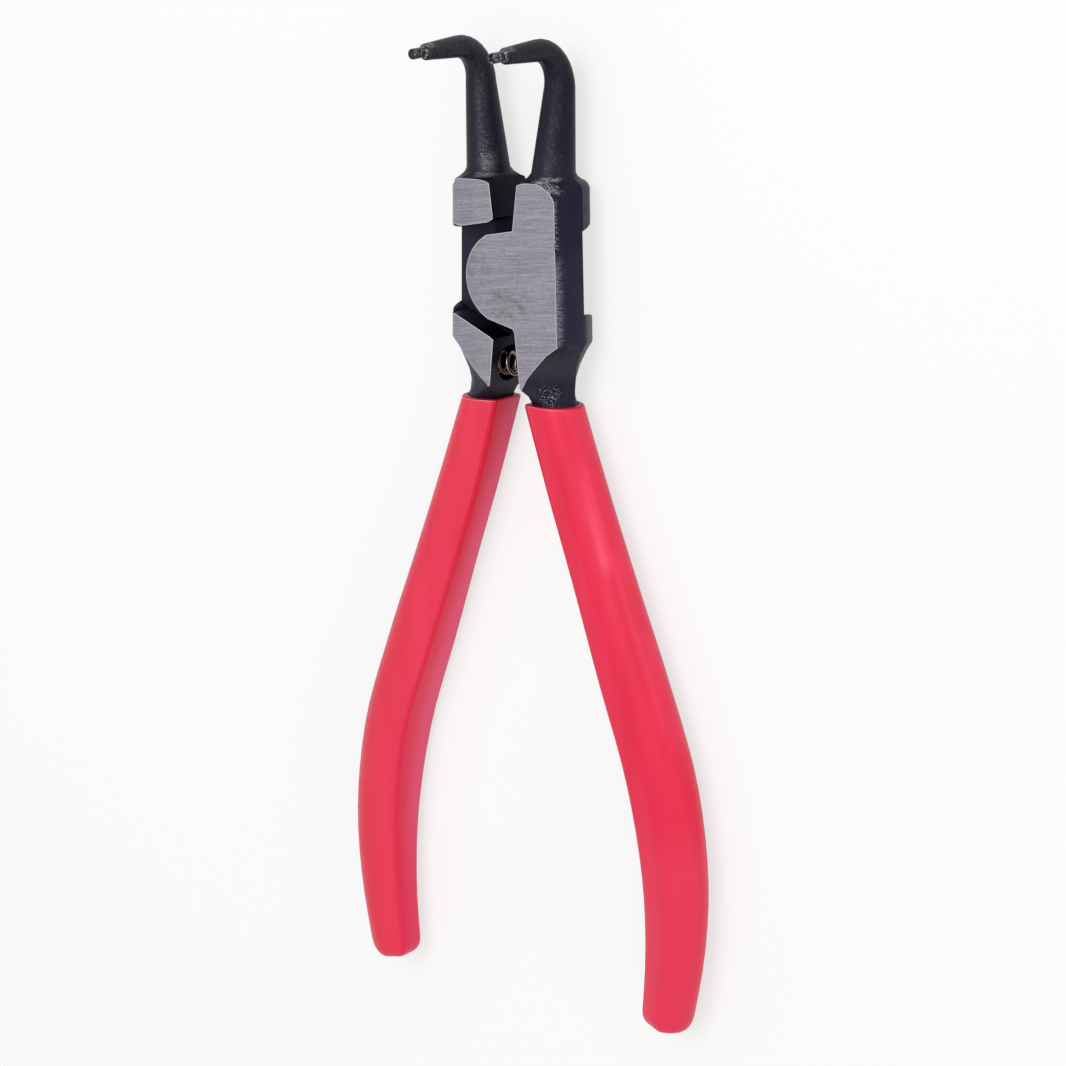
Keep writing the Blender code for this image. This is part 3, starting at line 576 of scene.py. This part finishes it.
def smoothing_tree(degrees):
    """Welds the corners, then shades smooth across the edges that turn by less than degrees."""
    name = "smooth_%d" % degrees
    tree = bpy.data.node_groups.get(name)
    if tree is not None:
        return tree
    tree = bpy.data.node_groups.new(name, "GeometryNodeTree")
    tree.interface.new_socket("Geometry", in_out="INPUT", socket_type="NodeSocketGeometry")
    tree.interface.new_socket("Geometry", in_out="OUTPUT", socket_type="NodeSocketGeometry")
    nodes = tree.nodes
    start = nodes.new("NodeGroupInput")
    merge = nodes.new("GeometryNodeMergeByDistance")
    merge.inputs["Distance"].default_value = WELD
    faces = nodes.new("GeometryNodeSetShadeSmooth")
    faces.domain = "FACE"
    angle = nodes.new("GeometryNodeInputMeshEdgeAngle")
    below = nodes.new("FunctionNodeCompare")
    below.data_type = "FLOAT"
    below.operation = "LESS_THAN"
    below.inputs["B"].default_value = math.radians(degrees)
    edges = nodes.new("GeometryNodeSetShadeSmooth")
    edges.domain = "EDGE"
    end = nodes.new("NodeGroupOutput")
    tree.links.new(start.outputs[0], merge.inputs["Geometry"])
    tree.links.new(merge.outputs["Geometry"], faces.inputs["Geometry"])
    tree.links.new(faces.outputs[0], edges.inputs["Geometry"])
    tree.links.new(angle.outputs["Unsigned Angle"], below.inputs["A"])
    tree.links.new(below.outputs[0], edges.inputs["Shade Smooth"])
    tree.links.new(edges.outputs[0], end.inputs[0])
    return tree


def smooth_by_angle(item, degrees):
    step = item.modifiers.new("smooth", "NODES")
    step.node_group = smoothing_tree(degrees)


def dress(item, *finishes):
    item.data.materials.clear()
    for finish in finishes:
        item.data.materials.append(finish)


def mark_ground_faces(item, index):
    """Gives the faces that lie in the two ground planes their own finish."""
    for face in item.data.polygons:
        z = face.center.z / MM
        off_plane = min(abs(z), abs(z - FRONT))
        ground_flat = abs(face.normal.z) > FLAT_NORMAL and off_plane < PLANE_GAP
        face.material_index = index if ground_flat else 0


# Solids made of rings of points

def circle(steps):
    return [2 * math.pi * i / steps for i in range(steps)]


def new_object(name, bm):
    mesh = bpy.data.meshes.new(name)
    bm.to_mesh(mesh)
    bm.free()
    item = bpy.data.objects.new(name, mesh)
    bpy.context.scene.collection.objects.link(item)
    return item


def ring_solid(name, rings, closed=False):
    """Skins rings of points, in metres; closed joins the last ring to the first, else both are capped."""
    bm = bmesh.new()
    loops = [[bm.verts.new(point) for point in ring] for ring in rings]
    followers = loops[1:] + loops[:1] if closed else loops[1:]
    for one, two in zip(loops, followers):
        for i in range(len(one)):
            j = (i + 1) % len(one)
            bm.faces.new((one[i], one[j], two[j], two[i]))
    if not closed:
        bm.faces.new(loops[0])
        bm.faces.new(loops[-1])
    bmesh.ops.recalc_face_normals(bm, faces=bm.faces)
    return new_object(name, bm)


def make_rivet():
    """Turned from heights and radii: two flush countersunk heads and the shank between them."""
    low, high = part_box("pivot_rivet")
    thickness = (high.z - low.z) / MM
    seat = (high.x - low.x) / MM / 2
    head = [(0.0, RIVET_EDGE), (0.25, RIVET_EDGE - 0.02), (0.4, seat - 0.5), (RIVET_HEAD, RIVET_SHANK)]
    profile = head + [(thickness - z, radius) for z, radius in reversed(head)]
    rings = [[(radius * math.cos(a) * MM, radius * math.sin(a) * MM, z * MM) for a in circle(RIVET_STEPS)]
             for z, radius in profile]
    return ring_solid("flush_rivet", rings)


def make_lip(name, side):
    """The lip hammered in round a pin, from heights off the nose and radii. It all but closes the bore."""
    profile = [(-0.9, 0.835), (-0.9, 0.715), (0.50, 0.715), (0.46, 0.79), (0.20, 0.93), (0.02, 1.10),
               (0.0, 0.835)]
    rings = []
    for height, radius in profile:
        ring = []
        for a in circle(LIP_STEPS):
            # Only the lip's free rim is dented
            dent = 0.035 * math.sin(3 * a + side) + 0.025 * math.sin(7 * a + 2 * side)
            out = height + dent if height > 0.1 else height
            wide = radius + dent if radius > 0.9 else radius
            ring.append(((side * NOSE_X + wide * math.cos(a)) * MM,
                         (NOSE_Y + wide * math.sin(a) - PIN_LEAN * out) * MM,
                         (NOSE_END + out + PIN_LEAN * wide * math.sin(a)) * MM))
        rings.append(ring)
    item = ring_solid(name, rings, closed=True)
    item.data.shade_smooth()
    return item


# The spring, wound as the real one: closed end turns and open ones between

def coil_x(turn, left, right):
    """How far along X the wire's middle lies after so many turns."""
    pitch = (right - left - 2 * CLOSED_TURNS * CLOSED_PITCH) / (SPRING_TURNS - 2 * CLOSED_TURNS)
    if turn < CLOSED_TURNS:
        return left + turn * CLOSED_PITCH
    if turn > SPRING_TURNS - CLOSED_TURNS:
        return right - (SPRING_TURNS - turn) * CLOSED_PITCH
    return left + CLOSED_TURNS * CLOSED_PITCH + (turn - CLOSED_TURNS) * pitch


def make_spring():
    """Returns the coil and where its two ends and its axis lie, in metres."""
    low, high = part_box("return_spring")
    radius = (high.z - low.z) / MM / 2 - WIRE
    middle_y = (high.y + low.y) / MM / 2
    left = low.x / MM + WIRE
    right = high.x / MM - WIRE
    count = int(SPRING_TURNS * SPRING_STEPS)
    points = []
    for i in range(count + 1):
        turn = SPRING_TURNS * i / count
        angle = 2 * math.pi * turn
        points.append(Vector((coil_x(turn, left, right), middle_y + radius * math.cos(angle),
                              ORIGIN_TO_MIDDLE + radius * math.sin(angle))))
    rings = []
    for i, point in enumerate(points):
        along = (points[min(i + 1, count)] - points[max(i - 1, 0)]).normalized()
        out = (point - Vector((point.x, middle_y, ORIGIN_TO_MIDDLE))).normalized()
        out = (out - along * out.dot(along)).normalized()
        third = along.cross(out)
        rings.append([(point + (out * math.cos(a) + third * math.sin(a)) * WIRE) * MM
                      for a in circle(WIRE_STEPS)])
    item = ring_solid("spring_coil", rings)
    item.data.shade_smooth()
    return item, left * MM, right * MM, middle_y * MM


# Stage, light and camera

def make_stage():
    """A pale floor. Seen directly it is lifted to white, and keeps a light shadow."""
    bm = bmesh.new()
    bmesh.ops.create_grid(bm, x_segments=1, y_segments=1, size=FLOOR_REACH)
    floor = new_object("floor", bm)
    floor.location = (0, 0, -FLOOR_DROP)
    w = Finish("pale_floor")
    matt = w.surface((0.97, 0.97, 0.97), 0.9, 0.0, Specular_IOR_Level=0.0)
    white = w.add("ShaderNodeEmission", Color=(1.0, 1.0, 1.0), Strength=1.0).outputs[0]
    both = w.add("ShaderNodeMixShader")
    for socket, value in zip(both.inputs, (w.times(w.seen_directly(), FLOOR_LIFT), matt, white)):
        w.put(socket, value)
    dress(floor, w.done(both.outputs[0]))


def make_lamp(name, place, size, power):
    lamp = bpy.data.lights.new(name, "AREA")
    lamp.shape = "RECTANGLE"
    lamp.size, lamp.size_y = size
    lamp.energy = power
    item = bpy.data.objects.new(name, lamp)
    item.location = place
    item.rotation_euler = (Vector(LIGHT_TARGET) - Vector(place)).to_track_quat("-Z", "Y").to_euler()
    bpy.context.scene.collection.objects.link(item)


def make_light():
    """A light room, a little brighter toward plus X and plain white seen directly, and two lamps."""
    world = bpy.data.worlds.new("studio")
    bpy.context.scene.world = world
    world.use_nodes = True
    w = Wiring(world.node_tree)
    room = w.math("MULTIPLY_ADD", w.split(w.source["Generated"])["X"], ROOM_SLOPE, ROOM_LEVEL)
    strength = w.ramp(w.seen_directly(), 0.0, 1.0, room, 1.0)
    back = w.add("ShaderNodeBackground", Color=(1.0, 1.0, 1.0), Strength=strength)
    w.add("ShaderNodeOutputWorld", Surface=back.outputs[0])
    make_lamp("key_above", (0.05, 0.30, 0.80), (0.5, 0.55), 3.1)
    make_lamp("fill_right", (0.65, -0.15, 0.40), (0.08, 0.7), 0.2)


def make_camera():
    """The camera as fitted to the photograph, from the joint's flat faces and the levers' symmetry."""
    turn, tilt, roll = (math.radians(angle) for angle in (CAMERA_TURN, CAMERA_TILT, CAMERA_ROLL))
    level = Vector((math.cos(turn), 0.0, -math.sin(turn)))
    back = Vector((math.sin(turn) * math.cos(tilt), math.sin(tilt), math.cos(turn) * math.cos(tilt)))
    upright = back.cross(level)
    right = level * math.cos(roll) + upright * math.sin(roll)
    up = upright * math.cos(roll) - level * math.sin(roll)
    middle = Vector((0.0, 0.0, ORIGIN_TO_MIDDLE))
    place = Matrix((right, up, back)).transposed().to_4x4()
    place.translation = (middle + right * CENTRE_RIGHT + up * CENTRE_UP + back * CAMERA_DISTANCE) * MM
    camera = bpy.data.cameras.new("photo_camera")
    camera.lens = LENS
    camera.sensor_width = FILM_WIDTH
    camera.clip_start = CAMERA_NEAR
    item = bpy.data.objects.new("photo_camera", camera)
    item.matrix_world = place
    bpy.context.scene.collection.objects.link(item)
    bpy.context.scene.camera = item


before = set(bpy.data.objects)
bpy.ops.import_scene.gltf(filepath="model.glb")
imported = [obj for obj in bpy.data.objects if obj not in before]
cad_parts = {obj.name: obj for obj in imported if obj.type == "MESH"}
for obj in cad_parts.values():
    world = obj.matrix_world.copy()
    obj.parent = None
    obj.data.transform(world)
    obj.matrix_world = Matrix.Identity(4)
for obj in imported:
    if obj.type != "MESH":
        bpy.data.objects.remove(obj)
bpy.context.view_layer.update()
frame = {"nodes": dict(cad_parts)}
bpy.context.scene.view_settings.view_transform = "Standard"
make_camera()

nodes = frame["nodes"]
ground = ground_steel("ground_steel_face")
for name, lap in (("right_half", 1), ("left_half", -1)):
    dress(nodes[name], black_steel("black_forging_" + name, lap), ground)
    mark_ground_faces(nodes[name], 1)
    smooth_by_angle(nodes[name], SMOOTH_LEVER)
rivet = make_rivet()
dress(rivet, ground)
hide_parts("pivot_rivet")
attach(rivet, "left_lever")
pins = pin_steel("tip_pin_steel")
peened = peened_steel("peened_nose_steel")
for side, outward in (("left", -1), ("right", 1)):
    dress(nodes[side + "_tip"], pins)
    smooth_by_angle(nodes[side + "_tip"], SMOOTH_TIP)
    dress(nodes[side + "_grip"], red_sleeve("dipped_red_sleeve_" + side, -outward))
    smooth_by_angle(nodes[side + "_grip"], SMOOTH_GRIP)
    firm = nodes[side + "_grip"].modifiers.new("firm", "WEIGHTED_NORMAL")
    firm.keep_sharp = True
    lip = make_lip("nose_lip_" + side, outward)
    dress(lip, peened)
    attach(lip, side + "_lever")

coil, coil_left, coil_right, coil_y = make_spring()
dress(coil, spring_wire("brown_spring_wire"))
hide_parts("return_spring")
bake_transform(coil)

make_stage()
make_light()
